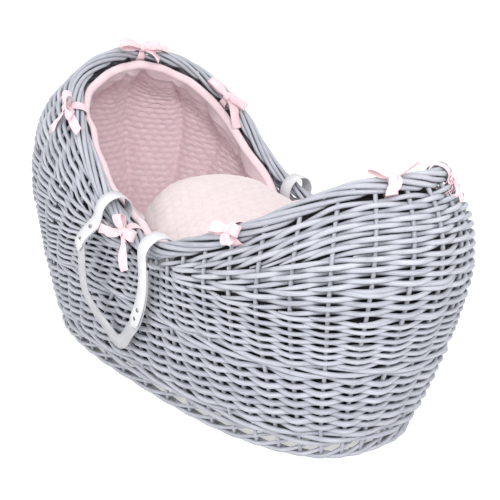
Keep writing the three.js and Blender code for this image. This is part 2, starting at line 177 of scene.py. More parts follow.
def wall_point(angle, v, offset):
    offset = np.asarray(offset, float)
    return stake_point(angle, v) + wall_normal(angle, v) * offset[..., None]


def rim_frame(angle):
    """On the rim: the point, t along it, out through the wall, up along the stake."""
    angle = np.asarray(angle, float)
    t = unit(rim_point(angle + 0.01) - rim_point(angle - 0.01))
    normal = wall_normal(angle, np.full_like(angle, 0.985), level=False)
    out = unit(normal - t * np.sum(normal * t, -1, keepdims=True))
    up = unit(np.cross(out, t))
    lift = stake_point(angle, np.ones_like(angle)) - stake_point(angle, np.full_like(angle, 0.95))
    up = up * np.where(np.sum(up * lift, -1, keepdims=True) < 0, -1, 1)
    return rim_point(angle), t, out, up


# Places round the basket are also counted in stakes, evenly spaced along the wall's middle height.
STAKES = 46
_dense = np.linspace(0, TAU, 1441)
_ring = stake_point(_dense, 0.45)
_along = np.concatenate([[0], np.cumsum(np.linalg.norm(np.diff(_ring, axis=0), axis=1))])
GIRTH = _along[-1]


def stake_angle(s):
    s = np.asarray(s, float)
    turns = np.floor(s / STAKES)
    return np.interp((s - turns * STAKES) * GIRTH / STAKES, _along, _dense) + turns * TAU


# ---- mesh building ----------------------------------------------------------------------------


class Build:
    """Collects vertices, faces and one UV per vertex, and makes one mesh object of them."""

    def __init__(self):
        self.points, self.uvs, self.quads, self.ngons, self.count = [], [], [], [], 0

    def grid(self, points, uv, close_u=False, close_v=False):
        """A grid of quads from points[u, v]."""
        n, m = points.shape[:2]
        ids = self.count + np.arange(n * m).reshape(n, m)
        a = ids if close_u else ids[:-1]
        b = np.roll(ids, -1, 0) if close_u else ids[1:]
        if close_v:
            quads = np.stack([a, b, np.roll(b, -1, 1), np.roll(a, -1, 1)], -1)
        else:
            quads = np.stack([a[:, :-1], b[:, :-1], b[:, 1:], a[:, 1:]], -1)
        self.quads.append(quads.reshape(-1, 4))
        self.points.append(points.reshape(-1, 3))
        self.uvs.append(uv.reshape(-1, 2))
        self.count += n * m
        return ids

    def cap(self, ids):
        self.ngons.append([int(i) for i in ids])

    def tube(self, line, normal, radius, sides=7, closed=False):
        """A rod of that radius along a line, with flat ends unless it is closed."""
        radius = np.broadcast_to(np.asarray(radius, float), (len(line),))
        if closed:
            tangent = unit(np.roll(line, -1, 0) - np.roll(line, 1, 0))
        else:
            tangent = unit(np.gradient(line, axis=0))
        side = unit(np.cross(tangent, normal))
        normal = np.cross(side, tangent)
        turn = TAU * np.arange(sides) / sides
        cos, sin = np.cos(turn)[None, :, None], np.sin(turn)[None, :, None]
        ring = normal[:, None] * cos + side[:, None] * sin
        points = line[:, None] + ring * radius[:, None, None]
        length = np.concatenate([[0], np.cumsum(np.linalg.norm(np.diff(line, axis=0), axis=1))])
        length = length + rng.uniform(0, 50)
        uv = np.stack(np.broadcast_arrays(length[:, None], turn[None] * 0.003), -1)
        ids = self.grid(points, uv, close_u=closed, close_v=True)
        if not closed:
            self.cap(ids[0][::-1])
            self.cap(ids[-1])

    def strip(self, line, across, face, width, thick, corner=0.3):
        """A flat band along a line: across is its width's direction, face the way it faces."""
        width = np.broadcast_to(np.asarray(width, float), (len(line),))[:, None, None]
        c = corner
        profile = np.array([
            [-0.5, -0.5 + c], [-0.5, 0.5 - c], [-0.5 + 0.02, 0.5], [0, 0.5], [0.5 - 0.02, 0.5],
            [0.5, 0.5 - c], [0.5, -0.5 + c], [0.5 - 0.02, -0.5], [0, -0.5], [-0.5 + 0.02, -0.5],
        ])
        points = (
            line[:, None]
            + across[:, None] * profile[None, :, :1] * width
            + face[:, None] * profile[None, :, 1:] * thick
        )
        length = np.concatenate([[0], np.cumsum(np.linalg.norm(np.diff(line, axis=0), axis=1))])
        uv = np.stack(np.broadcast_arrays(length[:, None], profile[None, :, 0] * width[:, :, 0]), -1)
        ids = self.grid(points, uv, close_v=True)
        self.cap(ids[0][::-1])
        self.cap(ids[-1])

    def make(self, name, material, slot, body="basket"):
        points = np.concatenate(self.points)
        quads = np.concatenate(self.quads)
        corners = np.concatenate([quads.ravel(), *[np.array(n) for n in self.ngons]]).astype(np.int32)
        sizes = np.concatenate([np.full(len(quads), 4), [len(n) for n in self.ngons]]).astype(np.int32)
        mesh = bpy.data.meshes.new(name)
        mesh.vertices.add(len(points))
        mesh.vertices.foreach_set("co", points.astype(np.float32).ravel())
        mesh.loops.add(len(corners))
        mesh.loops.foreach_set("vertex_index", corners)
        mesh.polygons.add(len(sizes))
        starts = np.concatenate([[0], np.cumsum(sizes)[:-1]]).astype(np.int32)
        mesh.polygons.foreach_set("loop_start", starts)
        mesh.update(calc_edges=True)
        layer = mesh.uv_layers.new(name="Along")
        layer.data.foreach_set("uv", np.concatenate(self.uvs)[corners].astype(np.float32).ravel())
        mesh.polygons.foreach_set("use_smooth", np.ones(len(sizes), bool))
        mesh.validate()
        turn_outwards(mesh)
        piece = bpy.data.objects.new(name, mesh)
        bpy.context.scene.collection.objects.link(piece)
        mesh.materials.append(material)
        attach(piece, body)
        return piece


def turn_outwards(mesh):
    bm = bmesh.new()
    bm.from_mesh(mesh)
    bmesh.ops.recalc_face_normals(bm, faces=bm.faces)
    bm.to_mesh(mesh)
    bm.free()


def wander(n, size, smoothness, closed=False):
    """A smooth random line of n values, about size in height."""
    knots = max(4, int(n / smoothness))
    values = rng.normal(0, size, knots)
    places = np.linspace(0, knots, n, endpoint=False) if closed else np.linspace(0, knots - 1, n)
    if closed:
        values = np.append(values, values[0])
    low = np.floor(places).astype(int)
    part = places - low
    part = part * part * (3 - 2 * part)
    high = np.minimum(low + 1, len(values) - 1)
    return values[low] * (1 - part) + values[high] * part


# ---- materials --------------------------------------------------------------------------------


def nodes_of(name, roughness, sheen=0.0, specular=0.5, metallic=0.0):
    material = bpy.data.materials.new(name)
    material.use_nodes = True
    tree = material.node_tree
    shader = tree.nodes["Principled BSDF"]
    shader.inputs["Roughness"].default_value = roughness
    shader.inputs["Sheen Weight"].default_value = sheen
    shader.inputs["Sheen Roughness"].default_value = 0.5
    shader.inputs["Specular IOR Level"].default_value = specular
    shader.inputs["Metallic"].default_value = metallic
    return material, tree, shader


def mapped(tree, source, scale):
    """A coordinate stretched by scale: source is Object or UV."""
    coordinates = tree.nodes.new("ShaderNodeTexCoord")
    mapping = tree.nodes.new("ShaderNodeMapping")
    mapping.inputs["Scale"].default_value = scale
    tree.links.new(coordinates.outputs[source], mapping.inputs["Vector"])
    return mapping.outputs["Vector"]


def noise(tree, vector, scale, detail=3.0):
    node = tree.nodes.new("ShaderNodeTexNoise")
    node.inputs["Scale"].default_value = scale
    node.inputs["Detail"].default_value = detail
    tree.links.new(vector, node.inputs["Vector"])
    return node.outputs["Fac"]


def ramp(tree, value, stops):
    node = tree.nodes.new("ShaderNodeValToRGB")
    elements = node.color_ramp.elements
    while len(elements) < len(stops):
        elements.new(0.5)
    for element, (place, colour) in zip(elements, stops):
        element.position = place
        element.color = (*colour, 1)
    tree.links.new(value, node.inputs["Fac"])
    return node.outputs["Color"]


def multiply(tree, a, b):
    node = tree.nodes.new("ShaderNodeMix")
    node.data_type = "RGBA"
    node.blend_type = "MULTIPLY"
    node.inputs["Factor"].default_value = 1
    tree.links.new(a, node.inputs["A"])
    tree.links.new(b, node.inputs["B"])
    return node.outputs["Result"]


def add_values(tree, a, b, share):
    node = tree.nodes.new("ShaderNodeMath")
    node.operation = "MULTIPLY_ADD"
    node.inputs[1].default_value = share
    tree.links.new(b, node.inputs[0])
    tree.links.new(a, node.inputs[2])
    return node.outputs[0]


def bump(tree, shader, height, strength, distance):
    node = tree.nodes.new("ShaderNodeBump")
    node.inputs["Strength"].default_value = strength
    node.inputs["Distance"].default_value = distance
    tree.links.new(height, node.inputs["Height"])
    tree.links.new(node.outputs["Normal"], shader.inputs["Normal"])


def grey(value):
    return (value, value, value)


def wicker_material():
    """Painted willow: streaks along each rod, a tint for each rod, thin paint on the high spots."""
    material, tree, shader = nodes_of("painted_willow", 0.5)
    streaks = noise(tree, mapped(tree, "UV", (60, 1200, 1)), 1.0, 4)
    patches = noise(tree, mapped(tree, "Object", (1, 1, 1)), 45.0, 2)
    base = ramp(tree, streaks, [
        (0.25, (0.27, 0.282, 0.325)), (0.5, (0.40, 0.413, 0.46)), (0.8, (0.50, 0.51, 0.55)),
    ])
    island = tree.nodes.new("ShaderNodeNewGeometry").outputs["Random Per Island"]
    tint = ramp(tree, island, [
        (0.0, (0.84, 0.845, 0.86)), (0.5, (0.96, 0.96, 0.97)), (1.0, (1.06, 1.06, 1.05)),
    ])
    worn = ramp(tree, patches, [(0.3, grey(0.9)), (0.6, grey(1.0))])
    tree.links.new(multiply(tree, multiply(tree, base, tint), worn), shader.inputs["Base Color"])
    gloss = ramp(tree, streaks, [(0.2, grey(0.6)), (0.8, grey(0.42))])
    tree.links.new(gloss, shader.inputs["Roughness"])
    bump(tree, shader, add_values(tree, streaks, patches, 0.6), 0.35, 0.0006)
    return material


def plush_material(name, light, shade):
    """Short soft pile: a fine nap, patches where the pile lies the other way, painted shade."""
    material, tree, shader = nodes_of(name, 0.95, sheen=0.35, specular=0.15)
    where = mapped(tree, "Object", (1, 1, 1))
    nap = noise(tree, where, 1300.0, 2)
    lie = noise(tree, where, 70.0, 3)
    colour = ramp(tree, lie, [(0.3, shade), (0.65, light)])
    speckle = ramp(tree, nap, [(0.3, grey(0.93)), (0.7, grey(1.03))])
    painted_shade = tree.nodes.new("ShaderNodeAttribute")
    painted_shade.attribute_name = "PaintedShade"
    seam_shade = ramp(tree, painted_shade.outputs["Fac"], [(0.0, grey(1.0)), (1.0, grey(0.80))])
    colour = multiply(tree, multiply(tree, colour, speckle), seam_shade)
    tree.links.new(colour, shader.inputs["Base Color"])
    bump(tree, shader, add_values(tree, nap, lie, 0.8), 0.6, 0.0007)
    return material


def ribbon_material():
    """Grosgrain ribbon: fine ribs across it."""
    material, tree, shader = nodes_of("pink_grosgrain", 0.55, sheen=0.3, specular=0.3)
    ribs = tree.nodes.new("ShaderNodeTexWave")
    ribs.inputs["Scale"].default_value = 300
    ribs.inputs["Distortion"].default_value = 0.4
    tree.links.new(mapped(tree, "UV", (1, 1, 1)), ribs.inputs["Vector"])
    cloud = noise(tree, mapped(tree, "Object", (1, 1, 1)), 120.0, 2)
    colour = ramp(tree, cloud, [(0.3, (0.70, 0.49, 0.53)), (0.7, (0.78, 0.57, 0.605))])
    lines = ramp(tree, ribs.outputs["Fac"], [(0.0, grey(0.93)), (0.6, grey(1.0))])
    tree.links.new(multiply(tree, colour, lines), shader.inputs["Base Color"])
    bump(tree, shader, ribs.outputs["Fac"], 0.3, 0.0002)
    return material


def strap_material(name, darker, lighter):
    """Leatherette with a fine pebbled grain."""
    material, tree, shader = nodes_of(name, 0.45, specular=0.5)
    cells = tree.nodes.new("ShaderNodeTexVoronoi")
    cells.inputs["Scale"].default_value = 1100
    tree.links.new(mapped(tree, "Object", (1, 1, 1)), cells.inputs["Vector"])
    cloud = noise(tree, mapped(tree, "Object", (1, 1, 1)), 60.0, 3)
    colour = ramp(tree, cloud, [(0.3, darker), (0.7, lighter)])
    tree.links.new(colour, shader.inputs["Base Color"])
    bump(tree, shader, cells.outputs["Distance"], 0.25, 0.0003)
    return material


def metal_material():
    """Nickel plate with fine turning marks."""
    material, tree, shader = nodes_of("nickel_plate", 0.28, metallic=1.0)
    marks = noise(tree, mapped(tree, "Object", (1, 1, 1)), 2600.0, 2)
    colour = ramp(tree, marks, [(0.3, grey(0.50)), (0.7, (0.66, 0.65, 0.64))])
    tree.links.new(colour, shader.inputs["Base Color"])
    gloss = ramp(tree, marks, [(0.3, grey(0.22)), (0.7, grey(0.38))])
    tree.links.new(gloss, shader.inputs["Roughness"])
    return material


def plywood_material():
    """White painted plywood, with the grain just showing through the paint."""
    material, tree, shader = nodes_of("painted_plywood", 0.6)
    grain = noise(tree, mapped(tree, "Object", (3, 60, 60)), 4.0, 6)
    colour = ramp(tree, grain, [
        (0.3, (0.78, 0.77, 0.75)), (0.55, (0.84, 0.83, 0.81)), (0.8, (0.88, 0.87, 0.86)),
    ])
    tree.links.new(colour, shader.inputs["Base Color"])
    bump(tree, shader, grain, 0.2, 0.0004)
    return material


def cotton_material():
    """White cotton cover in a plain weave."""
    material, tree, shader = nodes_of("white_cotton", 0.9, sheen=0.2, specular=0.2)
    where = mapped(tree, "Object", (1, 1, 1))
    weave = []
    for axis in ("X", "Y"):
        wave = tree.nodes.new("ShaderNodeTexWave")
        wave.bands_direction = axis
        wave.inputs["Scale"].default_value = 420
        tree.links.new(where, wave.inputs["Vector"])
        weave.append(wave.outputs["Fac"])
    both = add_values(tree, weave[0], weave[1], 1.0)
    cloud = noise(tree, where, 30.0, 3)
    colour = ramp(tree, cloud, [(0.3, (0.80, 0.79, 0.76)), (0.7, (0.88, 0.87, 0.85))])
    tree.links.new(colour, shader.inputs["Base Color"])
    bump(tree, shader, both, 0.35, 0.0004)
    return material


WICKER = wicker_material()
LINER = plush_material("pink_plush", (0.87, 0.69, 0.73), (0.83, 0.635, 0.68))
# The liner's back is near-black: painted shade, so that the gaps in the weave look dark.
SHADE_BACKING = plush_material("liner_back_painted_shade", (0.035, 0.032, 0.04), (0.02, 0.018, 0.022))
COVERLET = plush_material("pale_pink_plush", (0.61, 0.525, 0.53), (0.58, 0.495, 0.50))
RIBBON = ribbon_material()
STRAP = strap_material("white_leatherette", (0.52, 0.52, 0.545), (0.59, 0.59, 0.61))
# The band between the tongues: the same white leatherette, drawn greyer as painted shade.
STRAP_BAND_SHADE = strap_material("white_leatherette_painted_shade", (0.35, 0.35, 0.375), (0.41, 0.41, 0.435))
METAL = metal_material()
PLYWOOD = plywood_material()
COTTON = cotton_material()
DARK = plush_material("eyelet_shadow", (0.03, 0.03, 0.03), (0.015, 0.015, 0.015))

# ---- the weave --------------------------------------------------------------------------------

PER_STAKE = 6
STAKE_RADIUS = 0.0030
ROUND_S = np.arange(STAKES * PER_STAKE) / PER_STAKE
ROUND_ANGLE = stake_angle(ROUND_S)
HEIGHTS = np.linspace(0, 1, 121)
COLUMNS = stake_point(ROUND_ANGLE[:, None], HEIGHTS[None])
STEPS = np.linalg.norm(np.diff(COLUMNS, axis=1), axis=2)
CLIMB = np.concatenate([np.zeros((len(ROUND_S), 1)), np.cumsum(STEPS, axis=1)], axis=1)


def v_at_height(z):
    """v at the height z on each sample round the basket."""
    z = np.broadcast_to(z, ROUND_S.shape)
    return np.array([np.interp(h, column, HEIGHTS) for h, column in zip(z, COLUMNS[:, :, 2])])


def weave_offset(s, phase, swing):
    """Over and under the stakes, a little straighter between them than a wave."""
    wave = np.cos(math.pi * (s + phase))
    return swing * np.sign(wave) * np.abs(wave) ** 1.15


def add_row(build, v, phase, radius, keep=None):
    """One weaver row through all samples, or through those that keep marks, as open pieces."""
    radius = radius * rng.uniform(0.92, 1.06)
    swing = (STAKE_RADIUS + radius) * 0.9
    drift = wander(len(ROUND_S), 0.0006, 9, closed=True)
    v = v + drift / CLIMB[:, -1]
    if keep is None:
        line = wall_point(ROUND_ANGLE, v, weave_offset(ROUND_S, phase, swing))
        build.tube(line, wall_normal(ROUND_ANGLE, v), radius, closed=True)
        return
    size = len(keep)
    starts = [i for i in range(size) if keep[i] and not keep[i - 1]]
    for start in starts:
        count = 0
        while keep[(start + count) % size]:
            count += 1
        if count < 2 * PER_STAKE:
            continue
        index = np.arange(start, start + count)
        angle, level = ROUND_ANGLE[index % size], v[index % size]
        line = wall_point(angle, level, weave_offset(ROUND_S[index % size], phase, swing))
        ends = np.minimum(np.arange(count), np.arange(count)[::-1])
        taper = np.clip(0.45 + 0.12 * ends, 0, 1)
        build.tube(line, wall_normal(angle, level), radius * taper)


# The radius of the rods in each part of the wall.
UPSETT_ROD, LOWER_ROD, WALE_ROD, MIDDLE_ROD, UPPER_ROD = 0.0034, 0.0038, 0.0033, 0.0030, 0.0034
LOWER_ROWS = 13
LOWER_FROM, LOWER_TO = 0.0495, 0.1365
UPSETT_HEIGHTS = (0.0275, 0.0345, 0.0415)
WALE_HEIGHTS = (0.1435, 0.1480, 0.1525)
WALE_TURNS = 12
MIDDLE_FROM, MIDDLE_TO = 0.1585, 0.2215
MIDDLE_ROWS = 13
FIRST_BELOW_RIM = 0.0190
UPPER_PITCH = 0.0064
# Above the middle rows the weave is in fans, each between two shares of the height left there.
FANS = [(1.0, 0.55), (0.55, 0.27), (0.27, 0.0)]


def add_wale(build, heights, radius, turns):
    """Rods that each pass outside several stakes and behind one, in step with one another."""
    for strand, z in enumerate(heights):
        turn = TAU * (ROUND_S * turns / STAKES + strand / len(heights))
        v = v_at_height(z + 0.0016 * np.sin(turn))
        line = wall_point(ROUND_ANGLE, v, 0.0012 + 0.0044 * np.cos(turn))
        build.tube(line, wall_normal(ROUND_ANGLE, v), radius, closed=True)


lower = Build()
add_wale(lower, UPSETT_HEIGHTS, UPSETT_ROD, WALE_TURNS)
for k in range(LOWER_ROWS):
    z = LOWER_FROM + (LOWER_TO - LOWER_FROM) * k / (LOWER_ROWS - 1)
    add_row(lower, v_at_height(z), k, LOWER_ROD)
lower.make("lower_rows", WICKER, "willow")

waling = Build()
add_wale(waling, WALE_HEIGHTS, WALE_ROD, WALE_TURNS)
waling.make("waling_rows", WICKER, "willow")

middle = Build()
for k in range(MIDDLE_ROWS):
    z = MIDDLE_FROM + (MIDDLE_TO - MIDDLE_FROM) * k / (MIDDLE_ROWS - 1)
    add_row(middle, v_at_height(z), k, MIDDLE_ROD)
middle.make("middle_rows", WICKER, "willow")

hood_rows, foot_rows = Build(), Build()
at_hood = (ROUND_ANGLE > math.radians(95)) & (ROUND_ANGLE < math.radians(265))
fan_base = np.array([np.interp(v, HEIGHTS, c) for v, c in zip(v_at_height(MIDDLE_TO), CLIMB)])
fan_height = np.maximum(CLIMB[:, -1] - FIRST_BELOW_RIM - fan_base, 0)
phase = 0
for high, low in FANS:
    for k in range(40):
        climbed = high * fan_height - UPPER_PITCH * k
        room = climbed > low * fan_height + 0.45 * UPPER_PITCH
        if not room.any():
            break
        v = np.array([np.interp(c, column, HEIGHTS) for c, column in zip(fan_base + climbed, CLIMB)])
        phase += 1
        for build, end in ((hood_rows, at_hood), (foot_rows, ~at_hood)):
            add_row(build, v, phase, UPPER_ROD, room & end)
hood_rows.make("hood_rows", WICKER, "willow")
foot_rows.make("foot_end_rows", WICKER, "willow")

stakes = Build()
for k in range(STAKES):
    v = np.linspace(0, 1, 46)
    lean = wander(len(v), 0.03, 14) * np.sin(math.pi * v)
    angle = stake_angle(k + lean)
    low = 0.006 / CLIMB[k * PER_STAKE, -1]
    v = low + (0.985 - low) * v
    line = stake_point(angle, v)
    stakes.tube(line, wall_normal(angle, v), STAKE_RADIUS)
stakes.make("stakes", WICKER, "willow")

# The rolled rim: each rod comes up from a stake and runs on round the bundle for several stakes.
RIM_ROD = 0.0034
RIM_SPAN = 6.0
border = Build()
for k in range(STAKES):
    s = k + np.linspace(0, RIM_SPAN, 40)
    share = (s - k) / RIM_SPAN
    point, t, out, up = rim_frame(stake_angle(s))
    turn = np.radians(-115 + 300 * share) + rng.uniform(-0.12, 0.12)
    reach = 0.0089 * smooth(np.minimum(share, 1 - share), -0.08, 0.1) + wander(40, 0.0008, 10)
    ring = out * np.cos(turn)[:, None] + up * np.sin(turn)[:, None]
    taper = 0.55 + 0.45 * smooth(np.minimum(share, 1 - share), 0, 0.1)
    radius = RIM_ROD * rng.uniform(0.9, 1.08) * taper
    border.tube(point + ring * reach[:, None], ring, radius, sides=8)
border.make("rim_rods", WICKER, "willow")

# The plaited foot: rods slant down from the wall to a ring that stands on the floor.
FOOT_ROD = 0.0030
FOOT_SPAN = 4.4
foot = Build()
for k in range(STAKES):
    s = k + np.linspace(0, FOOT_SPAN, 36)
    share = (s - k) / FOOT_SPAN
    angle = stake_angle(s)
    z = FOOT_ROD + 0.0215 * (1 - smooth(share, 0.0, 0.5))
    offset = -0.002 + 0.006 * smooth(share, 0.0, 0.25) - 0.0125 * smooth(share, 0.45, 1.0)
    line = base_outline(angle) + plan_outward(angle) * offset[:, None]
    line[:, 2] = z + rng.uniform(0, 0.0006)
    foot.tube(line, plan_outward(angle), FOOT_ROD * rng.uniform(0.94, 1.0), sides=8)
foot.make("foot_rods", WICKER, "willow")

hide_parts("lower_weave")
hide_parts("waling_band")
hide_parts("hood_weave")
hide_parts("foot_end_weave")
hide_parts("rim_border")
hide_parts("foot_border")

# ---- quilting ---------------------------------------------------------------------------------


def quilt(u, w, pitch=0.0125, period=0.020):
    """Rows of quilted scallops, each row half a scallop along: 0 at the stitches, 1 between."""
    def seam(row):
        return (row + 0.7 * np.abs(np.sin(math.pi * (u / period + row / 2)))) * pitch
    row = np.floor(w / pitch)
    row = np.where(w < seam(row), row - 1, row)
    low, high = seam(row), seam(row + 1)
    place = np.clip((w - low) / np.maximum(high - low, 1e-6), 0, 1)
    return np.sin(math.pi * place) ** 0.6


def mark_painted_shade(piece, values):
    """Keeps a painted shade for each vertex, which the plush darkens its colour by."""
    layer = piece.data.attributes.new("PaintedShade", "FLOAT", "POINT")
    layer.data.foreach_set("value", values.astype(np.float32).ravel())


# ---- liner ------------------------------------------------------------------------------------

LINER_COLUMNS = 560
LINER_ROWS = 150
liner_s = np.arange(LINER_COLUMNS) / LINER_COLUMNS * STAKES
liner_angle = stake_angle(liner_s)
columns = stake_point(liner_angle[:, None], HEIGHTS[None])
climb_steps = np.linalg.norm(np.diff(columns, axis=1), axis=2)
climb = np.concatenate([np.zeros((LINER_COLUMNS, 1)), np.cumsum(climb_steps, axis=1)], axis=1)
LINER_HEM_Z = 0.027
liner_low = np.array([np.interp(LINER_HEM_Z, c, HEIGHTS) for c in columns[:, :, 2]])

# Creases that run up the hood: the place in degrees and the lean of each. Between two creases the
# liner stands in from the wall.
CREASES = [
    (108, 3), (124, 8), (140, 12), (156, 8), (172, 10),
    (189, -9), (206, -12), (222, -8), (240, -9), (256, -3),
]
CREASE_WIDTH = 2.6
CREASE_DEPTH = 0.016


def near_crease(angle, rise):
    """1 in a crease, falling to 0 beside it."""
    degrees = np.degrees(angle)
    nearest = np.full(np.broadcast(angle, rise).shape, 99.0)
    for place, lean in CREASES:
        bend = lean * (rise - 0.5) + 1.5 * np.sin(7 * rise + place)
        nearest = np.minimum(nearest, np.abs(degrees - place - bend))
    return np.exp(-(nearest / CREASE_WIDTH) ** 1.2)


def liner_fold(angle, rise):
    """How far the liner stands in from the wall at an angle and a share of the way up."""
    degrees = np.degrees(angle)
    hood = smooth(degrees, 98, 112) * (1 - smooth(degrees, 248, 262))
    stand = CREASE_DEPTH * (1 - near_crease(angle, rise)) * hood * smooth(rise, 0.1, 0.4)
    ripple = 0.0022 * np.sin(liner_s * 2.3)[:, None] + 0.0014 * np.sin(liner_s * 4.9 + 1)[:, None]
    return stand * (1 - 0.5 * smooth(rise, 0.8, 1.0)) + ripple * smooth(rise, 0.5, 1.0)


# Where the four handle loops pass round the rim, in degrees.
HANDLE_LOOPS = [109, 82, 258, 280]


def passing_rings(angle):
    """1 where a handle loop passes round the rim, so that the liner stands clear of it."""
    near = np.zeros_like(angle)
    for place in HANDLE_LOOPS:
        gap = (np.degrees(angle) - place) / 5.5
        near = np.maximum(near, np.exp(-gap * gap))
    return near


rise = np.linspace(0, 1, LINER_ROWS)[None]
edge_out = 0.0175 + 0.0125 * passing_rings(liner_angle)[:, None]
inner_v = liner_low[:, None] + (1.0 - liner_low[:, None]) * rise
LINER_DEPTH = 0.0145
depth = LINER_DEPTH + liner_fold(liner_angle[:, None], rise)
depth = depth + (edge_out + 0.0135 - LINER_DEPTH) * smooth(rise, 0.75, 1.0)
u = liner_s[:, None] / STAKES * GIRTH
w = np.array([np.interp(v, HEIGHTS, c) for v, c in zip(inner_v, climb)])
quilted = quilt(u, w)
quilted_share = smooth(rise, 0.0, 0.05) * (1 - smooth(rise, 0.90, 0.98))
inner = wall_point(liner_angle[:, None], inner_v, -(depth + 0.0028 * quilted * quilted_share))

# The top edge is a soft roll that stands a little above the middle of the rim.
point, t, out, up = rim_frame(liner_angle)
lift = 0.0060 + 0.0028 * np.sin(liner_s * 1.9) + 0.0016 * np.sin(liner_s * 4.3 + 1)
lift = lift - 0.0115 * passing_rings(liner_angle)
top = []
for turn in np.radians([-20, 15, 50, 90, 130, 165, 200]):
    roll = edge_out[:, 0] + 0.0054 + 0.0072 * math.cos(turn)
    top.append(point - out * roll[:, None] + up * (lift + 0.0038 * math.sin(turn))[:, None])
top = np.stack(top, 1)
outer_rise = np.linspace(0.97, 0, 14)[None]
outer_v = liner_low[:, None] + (1.0 - liner_low[:, None]) * outer_rise
LINER_BACK = 0.0105
outer_depth = LINER_BACK + np.minimum(liner_fold(liner_angle[:, None], outer_rise), 0.004)
outer_depth = outer_depth + (edge_out - LINER_BACK) * smooth(outer_rise, 0.75, 1.0)
outer = wall_point(liner_angle[:, None], outer_v, -outer_depth)
section = np.concatenate([inner, top, outer], axis=1)

liner = Build()
uv = np.stack(np.broadcast_arrays(u, np.arange(section.shape[1])[None] * 0.004), -1)
liner.grid(section, uv, close_u=True, close_v=True)
liner_piece = liner.make("quilted_liner", LINER, "liner")
# Its back, from the roll's outer side down, takes the near-black painted shade.
liner_piece.data.materials.append(SHADE_BACKING)
shade_backing_from = LINER_ROWS + len(top[0]) - 1
place_in_section = np.arange(len(liner_piece.data.polygons)) % section.shape[1]
marks = (place_in_section >= shade_backing_from).astype(np.int32)
liner_piece.data.polygons.foreach_set("material_index", marks)
painted_shade = np.zeros(section.shape[:2])
# Painted shade in the hollows along the quilting's stitches.
painted_shade[:, :LINER_ROWS] = (1 - np.clip(quilted * 1.6, 0, 1)) * quilted_share
# Painted shade over the top rows, the rolled edge and the back, to dull the roll under the top light.
painted_shade[:, LINER_ROWS - 6:] = 0.9
mark_painted_shade(liner_piece, painted_shade)
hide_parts("liner")

# ---- mattress ---------------------------------------------------------------------------------

mattress_low, mattress_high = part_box("mattress")
mattress = Build()
mattress_angle = np.linspace(0, TAU, 180, endpoint=False)
# Each ring of the cover, from under the mattress to its top: how far in from the base's edge, and
# how high.
MATTRESS_RINGS = [
    (0.1, 0.0), (0.028, 0.0), (0.0215, 0.001), (0.017, 0.004), (0.0158, 0.012), (0.0155, 0.019),
    (0.0158, 0.026), (0.017, 0.034), (0.0215, 0.037), (0.028, 0.0376), (0.05, 0.038),
    (0.09, 0.038), (0.13, 0.038),
]
rings = [base_outline(mattress_angle, inset, mattress_low.z + z) for inset, z in MATTRESS_RINGS]
body = np.stack(rings, 1)
ids = mattress.grid(body, body[..., :2].copy(), close_u=True)
mattress.cap(ids[:, 0][::-1])
mattress.cap(ids[:, -1])
piping_line = base_outline(mattress_angle, 0.0205, mattress_high.z - 0.0022)
mattress.tube(piping_line, plan_outward(mattress_angle), 0.0019, closed=True)
mattress_piece = mattress.make("padded_mattress", COTTON, "mattress")
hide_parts("mattress")

# ---- coverlet ---------------------------------------------------------------------------------


def soft_copy(node, name, voxel):
    """A fresh mesh of a CAD solid, remeshed evenly."""
    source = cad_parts[node]
    mesh = source.data.copy()
    piece = bpy.data.objects.new(name, mesh)
    mesh.materials.clear()
    bpy.context.scene.collection.objects.link(piece)
    bpy.context.view_layer.objects.active = piece
    remesh = piece.modifiers.new("remesh", "REMESH")
    remesh.mode = "VOXEL"
    remesh.voxel_size = voxel
    apply_modifiers(piece)
    return piece


def apply_modifiers(piece):
    graph = bpy.context.evaluated_depsgraph_get()
    mesh = bpy.data.meshes.new_from_object(piece.evaluated_get(graph), depsgraph=graph)
    piece.modifiers.clear()
    piece.data = mesh


def coordinates(piece):
    points = np.empty(len(piece.data.vertices) * 3)
    piece.data.vertices.foreach_get("co", points)
    return points.reshape(-1, 3)


def set_coordinates(piece, points):
    piece.data.vertices.foreach_set("co", points.ravel())
    piece.data.update()


def normals(piece):
    values = np.empty(len(piece.data.vertices) * 3)
    piece.data.vertices.foreach_get("normal", values)
    return values.reshape(-1, 3)


coverlet = soft_copy("coverlet", "padded_coverlet", 0.006)
relax = coverlet.modifiers.new("relax", "SMOOTH")
relax.factor = 0.6
relax.iterations = 14
apply_modifiers(coverlet)
before = coordinates(coverlet)
before = before - normals(coverlet) * 0.002
set_coordinates(coverlet, before)
cloth = coverlet.modifiers.new("cloth", "CLOTH")
cloth.settings.use_pressure = True
cloth.settings.uniform_pressure_force = 4
cloth.settings.effector_weights.gravity = 0
cloth.settings.quality = 4
cloth.point_cache.frame_end = 20
for step in range(1, 15):
    bpy.context.scene.frame_set(step)
graph = bpy.context.evaluated_depsgraph_get()
puffed = bpy.data.meshes.new_from_object(coverlet.evaluated_get(graph), depsgraph=graph)
after = np.empty(len(puffed.vertices) * 3)
puffed.vertices.foreach_get("co", after)
coverlet.modifiers.clear()
move = after.reshape(-1, 3) - before
far = np.linalg.norm(move, axis=1, keepdims=True)
set_coordinates(coverlet, before + move * np.minimum(1, 0.003 / np.maximum(far, 1e-9)))
bpy.context.scene.frame_set(1)
finer = coverlet.modifiers.new("finer", "SUBSURF")
finer.levels = 1
finer.render_levels = 1
apply_modifiers(coverlet)
points = coordinates(coverlet)
facing = normals(coverlet)
across = points[:, 1] + 0.3 * points[:, 2]
lengthwise = points[:, 0] * 0.9 + 0.45 * (0.3 - points[:, 2])
quilted = quilt(across, lengthwise, 0.0135, 0.0155)
on_top = smooth(facing[:, 2], 0.0, 0.4)
gentle = 0.004 * np.sin(points[:, 0] * 23 + 1) * np.sin(points[:, 1] * 31 + points[:, 0] * 9)
swell = (quilted - 0.5) * 0.0015 * on_top + gentle * on_top * 0.5
